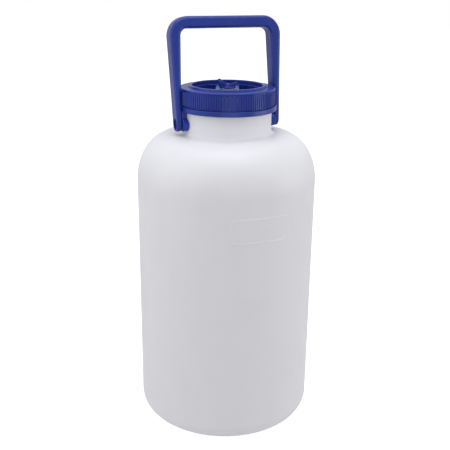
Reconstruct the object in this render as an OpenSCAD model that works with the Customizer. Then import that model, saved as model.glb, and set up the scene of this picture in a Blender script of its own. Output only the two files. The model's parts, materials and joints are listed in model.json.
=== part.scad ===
// Ten-litre wide-neck jug: a blow-moulded bottle, a collar with a swinging handle, a ribbed screw
// cap with a gasket, and a winged vent plug in the cap. Millimetres, +Z up, origin in the middle of
// the base. The handle's pivots lie along X.

/* [Bottle] */
// Outside diameter of the bottle
body_d = 208; // [170:1:260]
// Height of the top of the shoulder above the base
body_h = 349.5; // [240:0.5:440]
// Height of the rounded shoulder
shoulder_rise = 53; // [40:1:70]
// Flat ledge between the shoulder's curve and the neck
shoulder_land = 13; // [8:0.5:16]
// Radius of the rounded heel
heel_r = 21; // [12:0.5:28]
// Thickness of the blown wall
wall = 2.2; // [1.5:0.1:3.5]
// Rise of the panel inside the foot ring
base_rise = 4.5; // [2:0.5:8]
// Width of the foot ring
foot_w = 8; // [5:0.5:14]

/* [Neck] */
// Outside diameter of the neck under the collar
neck_d = 101.8; // [84:0.1:124]
// Height of the lip above the shoulder
neck_h = 48.4; // [44:0.2:60]
// Thickness of the neck's wall below the thread
neck_wall = 2.8; // [2:0.1:3.6]
// Radius where the neck meets the shoulder
neck_fillet = 5; // [3:0.5:7]
// Step from the neck in to the thread's root
finish_step = 2.1; // [1.5:0.1:2.6]
// Width of the lip that the gasket closes on
lip_w = 3; // [2.4:0.1:4]
// How far the bead that holds the collar stands out
bead_out = 1.7; // [1.2:0.1:2.4]
// Height of the bead
bead_h = 2.5; // [2:0.1:3]

/* [Thread] */
// Rise of the cap's thread in one turn
thread_pitch = 8; // [7:0.5:10]
// Height of the thread's ridge
thread_h = 2.6; // [2:0.1:3]
// Width of the ridge at its foot
thread_foot_w = 3; // [2.4:0.1:3.4]
// Width of the ridge at its crest
thread_crest_w = 1.4; // [1:0.1:1.8]
// Rise of the whole ridge on the neck and in the cap
thread_rise = 10; // [8:0.5:10.5]
// Clearance between the crest of one thread and the root of the other
thread_gap = 0.4; // [0.3:0.05:0.6]
// Clearance between the loaded flanks of the two threads
flank_gap = 0.35; // [0.25:0.05:0.6]

/* [Cap] */
// Depth of the skirt below the bottle's lip
skirt_cover = 15.5; // [15:0.5:18]
// Thickness of the skirt under its ribs
skirt_wall = 2.1; // [1.6:0.1:3]
// Number of grip ribs
rib_count = 120; // [72:4:160]
// Height of a grip rib
rib_h = 0.8; // [0.5:0.1:1.2]
// Plain band under the ribs
skirt_hem = 0.6; // [0.4:0.1:2]
// Thickness of the cap's top
cap_top = 2.4; // [2:0.1:3.5]
// Radius of the rounded rim
rim_r = 1.5; // [1:0.1:2]
// Height of the lip round the recess above the rim
lip_rise = 2.2; // [1.5:0.1:3]
// Thickness of the recess's wall
cup_wall = 2.2; // [1.8:0.1:3]
// Clearance between the recess's wall and the bottle's mouth
cup_gap = 3.4; // [2.5:0.1:5]
// Depth of the web below the rim
web_drop = 2.3; // [1:0.1:4]
// Width of the web between the finger pockets
web_w = 27; // [25:0.5:32]
// Depth of a finger pocket below the web
pocket_depth = 6.5; // [4:0.5:9]
// Radius of a finger pocket's corners in plan
pocket_corner_r = 5; // [2:0.5:7]
// How far the closed cap's web is turned from the front
cap_heading = -22; // [-90:1:90]
// Thickness of the gasket
gasket_t = 1.5; // [1:0.1:2.5]

/* [Vent plug] */
// Radius of the plug's stem at the root of its thread
stem_r = 5; // [4:0.1:6]
// Rise of the plug's thread in one turn
vent_pitch = 4; // [3.5:0.5:4.5]
// Height of the plug's thread
vent_thread_h = 1; // [0.8:0.1:1.2]
// Length of the stem below the web's top
stem_l = 9; // [8:0.5:11]
// Radius of the plug's flange
flange_r = 9.2; // [8.5:0.1:10]
// Thickness of the plug's flange
flange_t = 1.6; // [1.2:0.1:2.5]
// Thickness of the sealing ring under the flange
vent_seal_t = 1; // [0.8:0.1:1.5]
// Reach of a wing from the plug's axis
wing_reach = 13; // [10.5:0.5:14]
// Height of the thumb wing above the flange
thumb_wing_h = 9; // [6:0.5:12]
// Height of the finger wing above the flange
finger_wing_h = 4.5; // [3:0.5:8]
// Thickness of a wing
wing_t = 2.2; // [1.8:0.1:3]

/* [Collar] */
// Height of the collar's band
collar_h = 5.7; // [5.3:0.1:7]
// Thickness of the band outside the bead
collar_wall = 3.3; // [2.5:0.1:4.5]
// Thickness of the lip that sits under the bead
collar_lip = 2.2; // [1.8:0.1:2.3]
// Drop from the band to the pivot
pivot_drop = 14.2; // [12:0.2:15]
// Half height of a lug, and the radius of its rounded ends
lug_r = 7.5; // [6:0.1:8]
// Width of a lug round the neck
lug_w = 24; // [16:0.5:28]
// Width of the stem that carries a lug
lug_stem_w = 12; // [9:0.5:15]
// Thickness of a lug
lug_t = 4.8; // [4:0.1:5.5]
// Radius of a stub pin
pin_r = 4; // [3:0.1:5]

/* [Handle] */
// Height of the top of the handle above its pivots
handle_rise = 116.8; // [95:0.2:145]
// Height of the grip bar's section
bar_t = 13; // [10:0.5:16]
// Width of the handle's strap
strap_w = 20; // [17:0.5:24]
// Radius of an eye
eye_r = 8; // [7:0.1:9]
// Thickness of an eye
eye_t = 5.4; // [4.5:0.1:7]
// Radius of the round cup in an eye's outer face
eye_cup_r = 6; // [5:0.1:6.5]
// Depth of the cup, which the pin's end lies at the bottom of
eye_cup_depth = 2.6; // [1:0.1:3]
// How far an arm leans out between its eye and the corner
arm_flare = 4.6; // [2:0.1:8]
// How far an arm thickens inwards between its eye and the corner
arm_thicken = 2.6; // [0.5:0.1:4]
// Radius of the inside corners
corner_r = 8; // [5:0.5:14]
// Rounding of the bar's top edges
bar_round = 5; // [2:0.5:6]
// Backward lean of the handle at rest
handle_lean = 6.6; // [-20:0.1:20]

/* [Panel] */
// Length of the raised blank panel round the bottle
panel_l = 69; // [50:1:75]
// Height of the panel
panel_h = 28; // [20:1:50]
// Height of the panel's middle above the base
panel_z = 262; // [180:1:270]
// Corner radius of the panel
panel_r = 6; // [3:0.5:9]
// Width of the panel's raised outline
panel_line = 1.6; // [1:0.1:3]
// Height that the outline stands out
panel_out = 0.5; // [0.3:0.1:1]

/* [Clearances] */
// Clearance of the collar round the neck and the bead
collar_gap = 0.4; // [0.3:0.05:0.6]
// Clearance between stacked pieces that turn past each other
turn_gap = 0.3; // [0.25:0.05:0.5]
// Clearance between a lug and the handle's eye
eye_gap = 0.4; // [0.3:0.05:0.8]
// Radial clearance of an eye on its pin
pin_gap = 0.1; // [0.05:0.01:0.2]

/* [Hidden] */

SMOOTH = 96;        // segments of a turned surface
SHOULDER_STEPS = 22;
HEEL_STEPS = 10;
CORNER_STEPS = 10;
FILLET_STEPS = 5;
THREAD_STEPS = 36;  // segments of a thread in one turn
FADE_STEPS = 4;     // segments over which a thread's end runs out
BITE = 0.6;         // how deep joined solids run into each other
OVER = 1;           // how far a cutter runs past a face

body_color = "#dcdce4";
blue = "#35439a";
seal_color = "#c9c9c4";

// Bottle and neck, from the axis outwards
body_r = body_d / 2;
neck_r = neck_d / 2;
neck_in_r = neck_r - neck_wall;
finish_r = neck_r - finish_step;
mouth_r = finish_r - lip_w;
bead_r = neck_r + bead_out;
thread_crest_r = finish_r + thread_h;
shoulder_in_r = neck_r + shoulder_land;
foot_in_r = body_r - heel_r - foot_w;

// Heights, from the base up
side_top_z = body_h - shoulder_rise;
lip_z = body_h + neck_h;
skirt_z = lip_z - skirt_cover;
collar_top_z = skirt_z - turn_gap;
collar_z = collar_top_z - collar_h;
bead_z = collar_z + collar_lip + turn_gap;
pivot_z = collar_z - pivot_drop;
gasket_top_z = lip_z + gasket_t;
rim_z = gasket_top_z + cap_top;
web_z = rim_z - web_drop;
floor_z = web_z - pocket_depth;

// Cap, from the axis outwards
skirt_in_r = thread_crest_r + thread_gap;
skirt_r = skirt_in_r + skirt_wall;
cap_r = skirt_r + rib_h;
cup_r = mouth_r - cup_gap;
recess_r = cup_r - cup_wall;
pocket_r = recess_r - 1.5;
lip_ring_w = 3.4;   // width of the lip round the recess
lip_round = 1.2;    // rounding of that lip's outer edge
edge_break = 0.6;   // small bevels
rib_sink = 0.3;     // how far a rib's foot lies inside the skirt
rib_runout = 0.8;   // height over which the ribs give way to the rim

// Collar and handle, from the axis outwards
collar_r = bead_r + collar_gap + collar_wall;
lug_face = collar_r + turn_gap;
eye_in = lug_face + eye_gap;
eye_out = eye_in + eye_t;
pin_end = eye_out - eye_cup_depth;
lug_back = 3;       // extra depth that lets a lug's ends reach round the neck

// Threads: the neck's ridge starts above the bead, and the cap's ridge lies under it
neck_thread_z = bead_z + bead_h + thread_foot_w / 2 + turn_gap;
flank_slope = (thread_foot_w - thread_crest_w) / 2 / thread_h;
mesh_drop = thread_foot_w - flank_slope * (thread_h + thread_gap) + flank_gap;
thread_turns = thread_rise / thread_pitch;
cap_thread_z = skirt_z + skirt_hem + thread_foot_w / 2;
cap_thread_start = 360 * (cap_thread_z + mesh_drop - neck_thread_z) / thread_pitch;
vent_bore_r = stem_r + vent_thread_h + thread_gap;
vent_foot_w = 1.5;
vent_crest_w = 0.6;
vent_slope = (vent_foot_w - vent_crest_w) / 2 / vent_thread_h;
vent_drop = vent_foot_w - vent_slope * (vent_thread_h + thread_gap) + flank_gap;
vent_rise = 5;
vent_turns = vent_rise / vent_pitch;
vent_thread_z = web_z - stem_l + vent_foot_w;
vent_boss_r = vent_bore_r + cup_wall;
vent_flange_z = web_z + vent_seal_t;
hub_r = 3.2;        // radius of the hub between the two wings

// Points of a quarter ellipse from the side (0 degrees) to the top (90 degrees)
function quarter(cx, cz, rx, rz, steps) =
    [for (i = [0:steps]) [cx + rx * cos(90 * i / steps), cz + rz * sin(90 * i / steps)]];

// Points of a circle's arc between two angles
function arc(cx, cz, r, from, to, steps) =
    [for (i = [0:steps]) let (a = from + (to - from) * i / steps) [cx + r * cos(a), cz + r * sin(a)]];

// Half outline of the bottle's outside, from the axis at the base to the lip
function bottle_outside() = concat(
    [[0, base_rise], [foot_in_r - base_rise, base_rise], [foot_in_r, 0]],
    arc(body_r - heel_r, heel_r, heel_r, -90, 0, HEEL_STEPS),
    quarter(shoulder_in_r, side_top_z, body_r - shoulder_in_r, shoulder_rise, SHOULDER_STEPS),
    arc(neck_r + neck_fillet, body_h + neck_fillet, neck_fillet, 270, 180, FILLET_STEPS),
    [[neck_r, bead_z], [bead_r, bead_z], [bead_r, bead_z + bead_h - edge_break],
     [bead_r - edge_break, bead_z + bead_h], [finish_r, bead_z + bead_h],
     [finish_r, lip_z - edge_break], [finish_r - edge_break, lip_z], [0, lip_z]]);

// Half outline of the bottle's inside, past the lip
function bottle_inside() = concat(
    [[0, base_rise + wall], [foot_in_r - base_rise, base_rise + wall], [foot_in_r, wall]],
    arc(body_r - heel_r, heel_r, heel_r - wall, -90, 0, HEEL_STEPS),
    quarter(shoulder_in_r, side_top_z, body_r - shoulder_in_r - wall, shoulder_rise - wall,
            SHOULDER_STEPS),
    [[neck_in_r, body_h - wall + 0.8], [neck_in_r, bead_z - neck_wall], [mouth_r, bead_z],
     [mouth_r, lip_z - 0.5], [mouth_r + 0.5, lip_z], [mouth_r + 0.5, lip_z + OVER], [0, lip_z + OVER]]);

// Four corners of a thread ridge at one step along it
function ridge_section(root, crest, foot_w, crest_w, lift) =
    let (out = crest > root, in_r = root - (out ? BITE : -BITE))
    out ? [[in_r, lift - foot_w / 2], [crest, lift - crest_w / 2],
           [crest, lift + crest_w / 2], [in_r, lift + foot_w / 2]]
        : [[in_r, lift + foot_w / 2], [crest, lift + crest_w / 2],
           [crest, lift - crest_w / 2], [in_r, lift - foot_w / 2]];

// One helical ridge, outside or inside a cylinder, running out at both ends
module thread_ridge(root, crest, foot_w, crest_w, pitch, turns, z, start) {
    steps = round(turns * THREAD_STEPS);
    rings = [for (i = [0:steps])
        let (a = start + 360 * i / THREAD_STEPS,
             full = min(1, min(i, steps - i) / FADE_STEPS + 0.1),
             s = ridge_section(root, root + (crest - root) * full, foot_w, crest_w,
                               z + pitch * a / 360))
        for (p = s) [p[0] * cos(a), p[0] * sin(a), p[1]]];
    sides = [for (i = [0:steps - 1], k = [0:3])
        let (n = (k + 1) % 4) [4 * i + k, 4 * i + n, 4 * i + 4 + n, 4 * i + 4 + k]];
    ends = [[3, 2, 1, 0], [4 * steps, 4 * steps + 1, 4 * steps + 2, 4 * steps + 3]];
    polyhedron(rings, concat(sides, ends), convexity = 6);
}

// Rounded rectangle about the origin
module rounded_rect(w, h, r) {
    square([w - 2 * r, h], center = true);
    square([w, h - 2 * r], center = true);
    for (x = [-1, 1], y = [-1, 1])
        translate([x * (w / 2 - r), y * (h / 2 - r)]) circle(r, $fn = SMOOTH);
}

// Raised outline of the blank panel, wrapped on the bottle's front
module panel_outline() {
    intersection() {
        translate([0, 0, panel_z]) rotate([90, 0, 0])
            linear_extrude(body_r + OVER) difference() {
                rounded_rect(panel_l, panel_h, panel_r);
                rounded_rect(panel_l - 2 * panel_line, panel_h - 2 * panel_line,
                             panel_r - panel_line);
            }
        translate([0, 0, panel_z - panel_h]) difference() {
            cylinder(r = body_r + panel_out, h = 2 * panel_h, $fn = SMOOTH);
            translate([0, 0, -OVER])
                cylinder(r = body_r - BITE, h = 2 * panel_h + 2 * OVER, $fn = SMOOTH);
        }
    }
}

module bottle_body() color(body_color) {
    rotate_extrude($fn = SMOOTH) difference() {
        polygon(bottle_outside());
        polygon(bottle_inside());
    }
    thread_ridge(finish_r, thread_crest_r, thread_foot_w, thread_crest_w,
                 thread_pitch, thread_turns, neck_thread_z, 0);
    panel_outline();
}

// One lug on its stem, with its stub pin, on the +X side
module collar_lug() {
    lug_depth = lug_t + lug_back;
    translate([lug_face - lug_depth, 0, pivot_z]) rotate([90, 0, 90]) linear_extrude(lug_depth) {
        square([lug_w - 2 * lug_r, 2 * lug_r], center = true);
        for (side = [-1, 1])
            translate([side * (lug_w / 2 - lug_r), 0]) circle(lug_r, $fn = SMOOTH);
        translate([-lug_stem_w / 2, 0]) square([lug_stem_w, pivot_drop + collar_lip]);
    }
    translate([lug_face - BITE, 0, pivot_z]) rotate([0, 90, 0])
        cylinder(r = pin_r, h = pin_end - lug_face + BITE, $fn = SMOOTH);
}

module neck_collar() color(blue) {
    difference() {
        union() {
            translate([0, 0, collar_z]) cylinder(r = collar_r, h = collar_h, $fn = SMOOTH);
            collar_lug();
            mirror([1, 0, 0]) collar_lug();
        }
        translate([0, 0, pivot_z - lug_r - OVER])
            cylinder(r = neck_r + collar_gap, h = collar_top_z - pivot_z + lug_r + 2 * OVER,
                     $fn = SMOOTH);
        translate([0, 0, collar_z + collar_lip])
            cylinder(r = bead_r + collar_gap, h = collar_h, $fn = SMOOTH);
    }
}

// Handle outline, in its own frame with the pivots at height 0
corner_z = handle_rise - bar_t - corner_r;
out_angle = atan(arm_flare / (corner_z + eye_r));
in_angle = atan(arm_thicken / (corner_z - eye_r));
out_corner_x = eye_out + arm_flare - (corner_r + bar_t) / cos(out_angle);
in_corner_x = eye_in - arm_thicken - corner_r / cos(in_angle);

function handle_outside() = concat(
    [[eye_out, -eye_r]],
    arc(out_corner_x, corner_z, corner_r + bar_t, -out_angle, 90, CORNER_STEPS));

function handle_inside() = concat(
    [[eye_in, -eye_r - OVER], [eye_in, eye_r]],
    arc(in_corner_x, corner_z, corner_r, in_angle, 90, CORNER_STEPS));

function mirrored(points) = [for (i = [len(points) - 1:-1:0]) [-points[i][0], points[i][1]]];

// The strap seen from the side: an eye that widens into the strap, with a rounded top
module strap_side() {
    circle(eye_r, $fn = SMOOTH);
    polygon(concat(
        [[eye_r, 0], [strap_w / 2, 5 * eye_r]],
        arc(strap_w / 2 - bar_round, handle_rise - bar_round, bar_round, 0, 90, FILLET_STEPS),
        arc(bar_round - strap_w / 2, handle_rise - bar_round, bar_round, 90, 180, FILLET_STEPS),
        [[-strap_w / 2, 5 * eye_r], [-eye_r, 0]]));
}

module carry_handle() color(blue) {
    translate([0, 0, pivot_z]) rotate([-handle_lean, 0, 0]) difference() {
        intersection() {
            rotate([90, 0, 0]) linear_extrude(2 * strap_w, center = true) difference() {
                polygon(concat(handle_outside(), mirrored(handle_outside())));
                polygon(concat(handle_inside(), mirrored(handle_inside())));
            }
            rotate([90, 0, 90]) linear_extrude(3 * eye_out, center = true) strap_side();
        }
        rotate([0, 90, 0])
            cylinder(r = pin_r + pin_gap, h = 3 * eye_out, center = true, $fn = SMOOTH);
        for (side = [-1, 1])
            rotate([0, side * 90, 0]) translate([0, 0, pin_end])
                cylinder(r = eye_cup_r, h = eye_cup_depth + arm_flare, $fn = SMOOTH);
    }
}

// Plan of one finger pocket, a D with rounded corners on the +X side of the web
pocket_corner_x = web_w / 2 + pocket_corner_r;
pocket_corner_y = sqrt(pow(pocket_r - pocket_corner_r, 2) - pow(pocket_corner_x, 2));
pocket_angle = atan2(pocket_corner_y, pocket_corner_x);

module pocket_plan() {
    polygon(concat(
        arc(0, 0, pocket_r, -pocket_angle, pocket_angle, 2 * CORNER_STEPS),
        arc(pocket_corner_x, pocket_corner_y, pocket_corner_r, pocket_angle, 180, CORNER_STEPS),
        arc(pocket_corner_x, -pocket_corner_y, pocket_corner_r, 180, 360 - pocket_angle,
            CORNER_STEPS)));
}

// Cap's turned shape, from the axis outwards
function cap_outline() = concat(
    [[0, floor_z - cap_top], [cup_r, floor_z - cap_top], [cup_r, gasket_top_z],
     [skirt_in_r, gasket_top_z], [skirt_in_r, skirt_z], [skirt_r, skirt_z]],
    [[skirt_r, rim_z - rim_r - rib_runout], [cap_r, rim_z - rim_r - rib_runout / 2]],
    arc(cap_r - rim_r, rim_z - rim_r, rim_r, 0, 90, FILLET_STEPS),
    [[recess_r + lip_ring_w + edge_break, rim_z]],
    arc(recess_r + lip_ring_w - lip_round, rim_z + lip_rise - lip_round, lip_round, 0, 90,
        FILLET_STEPS),
    [[recess_r + edge_break, rim_z + lip_rise], [recess_r, rim_z + lip_rise - edge_break],
     [recess_r, web_z], [0, web_z]]);

// Grip ribs: a toothed ring round the skirt
module grip_ribs() {
    tooth = 360 / rib_count;
    share = [0, 0.28, 0.42, 0.86];
    reach = [skirt_r - rib_sink, cap_r, cap_r, skirt_r - rib_sink];
    ribs_z = skirt_z + skirt_hem;
    translate([0, 0, ribs_z]) linear_extrude(rim_z - rim_r - 0.75 * rib_runout - ribs_z)
        difference() {
            polygon([for (i = [0:rib_count - 1], k = [0:3])
                let (a = tooth * (i + share[k])) [reach[k] * cos(a), reach[k] * sin(a)]]);
            circle(skirt_r - BITE, $fn = SMOOTH);
        }
}

module screw_cap() color(blue) {
    difference() {
        union() {
            rotate_extrude($fn = SMOOTH) polygon(cap_outline());
            grip_ribs();
        }
        for (side = [0, 180])
            rotate([0, 0, cap_heading + side]) translate([0, 0, floor_z])
                linear_extrude(pocket_depth + OVER) pocket_plan();
        rotate([0, 0, cap_heading]) translate([0, 0, floor_z - cap_top - OVER]) difference() {
            linear_extrude(web_z - floor_z + OVER)
                square([web_w - 2 * cup_wall, 1.8 * recess_r], center = true);
            cylinder(r = vent_boss_r, h = 2 * pocket_depth, $fn = SMOOTH);
        }
        translate([0, 0, floor_z - cap_top - OVER])
            cylinder(r = vent_bore_r, h = web_z - floor_z + cap_top + 2 * OVER, $fn = SMOOTH);
    }
    thread_ridge(skirt_in_r, skirt_in_r - thread_h + 0.1, thread_foot_w, thread_crest_w,
                 thread_pitch, thread_turns, neck_thread_z - mesh_drop, cap_thread_start);
    thread_ridge(vent_bore_r, vent_bore_r - vent_thread_h, vent_foot_w, vent_crest_w,
                 vent_pitch, vent_turns, vent_thread_z + vent_drop, 0);
}

module cap_gasket() color(seal_color)
    translate([0, 0, lip_z]) difference() {
        cylinder(r = skirt_in_r - turn_gap, h = gasket_t, $fn = SMOOTH);
        translate([0, 0, -OVER])
            cylinder(r = cup_r + turn_gap, h = gasket_t + 2 * OVER, $fn = SMOOTH);
    }

// One wing of the plug: a strip of a ring, so that the two wings make an S in plan
module plug_wing(height) {
    curve_r = 15;    // radius of the wing's bend
    foot_x = flange_r - 1.5;
    tip = [wing_reach, 0.75 * height];
    translate([0, 0, vent_flange_z + flange_t - BITE]) intersection() {
        translate([0, curve_r, 0]) difference() {
            cylinder(r = curve_r + wing_t / 2, h = height + BITE, $fn = SMOOTH);
            translate([0, 0, -OVER])
                cylinder(r = curve_r - wing_t / 2, h = height + BITE + 2 * OVER, $fn = SMOOTH);
        }
        rotate([90, 0, 0]) linear_extrude(2 * curve_r, center = true)
            polygon([[0, 0], [foot_x, 0], tip, [wing_reach, height],
                     [wing_reach - 2, height + BITE], [hub_r, 0.6 * height], [0, 0.45 * height]]);
    }
}

module vent_plug() color(blue) {
    translate([0, 0, web_z - stem_l])
        cylinder(r = stem_r, h = stem_l + vent_seal_t + BITE, $fn = SMOOTH);
    translate([0, 0, vent_flange_z]) cylinder(r = flange_r, h = flange_t, $fn = SMOOTH);
    translate([0, 0, vent_flange_z + flange_t - BITE])
        cylinder(r1 = hub_r + 1, r2 = hub_r, h = 0.55 * finger_wing_h + BITE, $fn = SMOOTH);
    rotate([0, 0, cap_heading]) plug_wing(finger_wing_h);
    rotate([0, 0, cap_heading + 180]) plug_wing(thumb_wing_h);
    thread_ridge(stem_r, stem_r + vent_thread_h, vent_foot_w, vent_crest_w,
                 vent_pitch, vent_turns, vent_thread_z, 0);
}

module vent_seal() color(seal_color)
    translate([0, 0, web_z]) difference() {
        cylinder(r = flange_r - 0.6, h = vent_seal_t, $fn = SMOOTH);
        translate([0, 0, -OVER])
            cylinder(r = stem_r + turn_gap, h = vent_seal_t + 2 * OVER, $fn = SMOOTH);
    }

bottle_body();
neck_collar();
carry_handle();
screw_cap();
cap_gasket();
vent_plug();
vent_seal();
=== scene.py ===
"""Ten-litre wide-neck water jug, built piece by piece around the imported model.

The jug is a blow-moulded bottle, a collar that turns under the neck's bead, a carrying handle that
swings on the collar's stub pins, a ribbed screw cap with its gasket, and a winged vent plug with
its sealing ring. Lengths are metres. +Z is up, X runs along the handle's pivots and -Y is the
front.
"""

import json
import logging
import math
from collections.abc import Callable, Sequence
from dataclasses import dataclass, field
from enum import Enum

import bmesh
import bpy
import numpy as np
from mathutils import Matrix, Vector


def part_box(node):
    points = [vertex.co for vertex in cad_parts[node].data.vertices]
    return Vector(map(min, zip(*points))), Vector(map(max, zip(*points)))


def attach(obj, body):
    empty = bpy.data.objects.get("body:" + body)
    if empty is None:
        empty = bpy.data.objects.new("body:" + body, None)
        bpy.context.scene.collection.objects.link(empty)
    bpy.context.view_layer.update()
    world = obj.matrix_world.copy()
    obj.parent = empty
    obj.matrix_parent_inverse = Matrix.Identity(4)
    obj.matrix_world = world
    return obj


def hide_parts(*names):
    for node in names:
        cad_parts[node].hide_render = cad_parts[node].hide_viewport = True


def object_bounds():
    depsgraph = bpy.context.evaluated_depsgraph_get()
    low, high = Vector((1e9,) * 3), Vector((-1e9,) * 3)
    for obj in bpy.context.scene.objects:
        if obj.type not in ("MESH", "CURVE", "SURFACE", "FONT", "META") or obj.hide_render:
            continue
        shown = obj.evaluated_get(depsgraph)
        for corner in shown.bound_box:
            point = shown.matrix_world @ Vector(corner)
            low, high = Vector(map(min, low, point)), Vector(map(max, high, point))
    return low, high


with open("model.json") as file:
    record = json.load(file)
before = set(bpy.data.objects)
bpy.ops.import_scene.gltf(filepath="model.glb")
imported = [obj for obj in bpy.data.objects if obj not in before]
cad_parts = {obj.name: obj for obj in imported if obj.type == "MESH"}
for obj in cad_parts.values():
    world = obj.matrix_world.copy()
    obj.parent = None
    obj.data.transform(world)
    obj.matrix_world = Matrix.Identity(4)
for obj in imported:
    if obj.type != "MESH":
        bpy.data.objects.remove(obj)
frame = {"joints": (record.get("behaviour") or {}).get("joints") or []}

LOG = logging.getLogger("jug")
CAD_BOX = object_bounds()

TAU = 2 * math.pi
ARC_STEP = math.radians(9)      # widest step along a rounded corner of an outline
SHARP = math.radians(40)        # edges that turn more than this stay crisp
BURIED = 0.0006                 # how deep one solid runs into the next within a piece
WELD = 1e-6                     # vertices closer than this are one
THREAD_STEPS = 72               # chords in one turn of a thread
THREAD_RUN_OUT = 8              # chords over which a thread runs out
CAP_HEADING = math.radians(-22) # how far the closed cap's web is turned from the front

Outline = list[tuple[float, float]]
Bulge = Callable[[np.ndarray, np.ndarray], np.ndarray]


class Slot(Enum):
    """The record's material slots."""

    BOTTLE = "natural_polyethylene"
    BLUE = "blue_plastic"
    SEAL = "seal_foam"


class Combine(Enum):
    """What a second solid does to the first."""

    ADD = "UNION"
    CUT = "DIFFERENCE"


# ---- Outlines ----

def arc(cx: float, cy: float, radius: float, start: float, end: float, steps: int) -> Outline:
    """Points along a circle's arc.

    Args:
        cx: The centre's first coordinate.
        cy: The centre's second coordinate.
        radius: The arc's radius.
        start: The angle at the first point, in radians.
        end: The angle at the last point, in radians.
        steps: How many chords the arc has.

    Returns:
        The points, both ends included.
    """
    angles = np.linspace(start, end, steps + 1)
    return [(cx + radius * math.cos(a), cy + radius * math.sin(a)) for a in angles]


def rounded(corners: Sequence[tuple[float, float, float]], closed: bool) -> Outline:
    """Rounds the corners of a polyline.

    Args:
        corners: Each corner's two coordinates and its radius, where 0 keeps it sharp.
        closed: Whether the last corner joins the first.

    Returns:
        The outline's points.
    """
    points: Outline = []
    count = len(corners)
    for i, (x, y, radius) in enumerate(corners):
        if radius <= 0 or (not closed and i in (0, count - 1)):
            points.append((x, y))
            continue
        here = Vector((x, y))
        back = (Vector(corners[i - 1][:2]) - here).normalized()
        ahead = (Vector(corners[(i + 1) % count][:2]) - here).normalized()
        half = back.angle(ahead) / 2
        centre = here + (back + ahead).normalized() * (radius / math.sin(half))
        reach = radius / math.tan(half)
        first, last = here + back * reach - centre, here + ahead * reach - centre
        turn = math.pi - 2 * half
        side = 1 if first.x * last.y - first.y * last.x > 0 else -1
        start = math.atan2(first.y, first.x)
        steps = max(2, math.ceil(turn / ARC_STEP))
        points += arc(centre.x, centre.y, radius, start, start + side * turn, steps)
    return points


def fade(value: np.ndarray) -> np.ndarray:
    """A smooth step from 0 to 1 as the value goes from 0 to 1."""
    t = np.clip(value, 0, 1)
    return t * t * (3 - 2 * t)


# ---- Meshes ----

def link(name: str, data: bpy.types.ID) -> bpy.types.Object:
    """Makes an object of its data and puts it in the scene."""
    made = bpy.data.objects.new(name, data)
    bpy.context.scene.collection.objects.link(made)
    return made


@dataclass
class Sketch:
    """Vertices and faces of a piece, gathered shell by shell before they become one mesh."""

    points: list[tuple[float, float, float]] = field(default_factory=list)
    faces: list[tuple[int, ...]] = field(default_factory=list)

    def add(self, points: np.ndarray, faces: list[tuple[int, ...]],
            place: Matrix | None = None) -> None:
        """Adds one shell.

        Args:
            points: The shell's vertices, one a row.
            faces: The shell's faces, which count from its own first vertex.
            place: Where the shell goes, or None where it is in place already.
        """
        if place is not None:
            turn = np.array(place, float)
            points = points @ turn[:3, :3].T + turn[:3, 3]
        first = len(self.points)
        self.points += [tuple(p) for p in points]
        self.faces += [tuple(first + i for i in face) for face in faces]

    def copy(self, piece: bpy.types.Object, place: Matrix | None = None) -> None:
        """Adds a finished piece's mesh as one shell, at the given place."""
        shape = piece.data
        points = np.array([v.co for v in shape.vertices])
        self.add(points, [tuple(p.vertices) for p in shape.polygons], place)

    def turned(self, outline: Outline, angles: np.ndarray, ring: bool, bulge: Bulge | None = None,
               place: Matrix | None = None) -> None:
        """Turns an outline of radii and heights about Z into a closed shell.

        Args:
            outline: The outline's points. An open one starts and ends on the axis.
            angles: The angles of the mesh's columns, in radians, in order round one turn.
            ring: Whether the outline is closed and stays off the axis.
            bulge: Gives how far each vertex stands out, from its row and angle.
            place: Where the shell goes.
        """
        rows = np.array(outline if ring else outline[1:-1], float)
        columns = len(angles)
        radii = np.repeat(rows[:, :1], columns, axis=1)
        if bulge is not None:
            index = np.repeat(np.arange(len(rows))[:, None], columns, axis=1)
            radii = radii + bulge(index, np.repeat(angles[None, :], len(rows), axis=0))
        heights = np.repeat(rows[:, 1:], columns, axis=1)
        grid = np.stack([radii * np.cos(angles), radii * np.sin(angles), heights], axis=2)
        points = grid.reshape(-1, 3)
        faces = []
        spans = len(rows) if ring else len(rows) - 1
        for i in range(spans):
            a, b = i * columns, (i + 1) % len(rows) * columns
            faces += [(a + k, a + (k + 1) % columns, b + (k + 1) % columns, b + k)
                      for k in range(columns)]
        if not ring:
            low, high = len(points), len(points) + 1
            points = np.vstack([points, [0, 0, outline[0][1]], [0, 0, outline[-1][1]]])
            top = (len(rows) - 1) * columns
            faces += [(low, (k + 1) % columns, k) for k in range(columns)]
            faces += [(high, top + k, top + (k + 1) % columns) for k in range(columns)]
        self.add(points, faces, place)

    def lofted(self, rings: np.ndarray, place: Matrix | None = None) -> None:
        """Skins a row of rings that have equal counts of points, and closes both ends.

        Args:
            rings: The rings' points, as rings by points by 3.
            place: Where the shell goes.
        """
        count, size = rings.shape[:2]
        faces = [(i * size + k, i * size + (k + 1) % size, (i + 1) * size + (k + 1) % size,
                  (i + 1) * size + k) for i in range(count - 1) for k in range(size)]
        faces.append(tuple(range(size)))
        faces.append(tuple((count - 1) * size + k for k in reversed(range(size))))
        self.add(rings.reshape(-1, 3), faces, place)

    def to_object(self, name: str) -> bpy.types.Object:
        """Makes the Blender object of the gathered shells, with its normals facing outwards."""
        mesh = bpy.data.meshes.new(name)
        mesh.from_pydata(self.points, [], self.faces)
        shape = bmesh.new()
        shape.from_mesh(mesh)
        bmesh.ops.recalc_face_normals(shape, faces=shape.faces)
        shape.to_mesh(mesh)
        shape.free()
        return link(name, mesh)


def even(columns: int) -> np.ndarray:
    """Equally spaced angles round one turn."""
    return np.arange(columns) * TAU / columns


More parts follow.
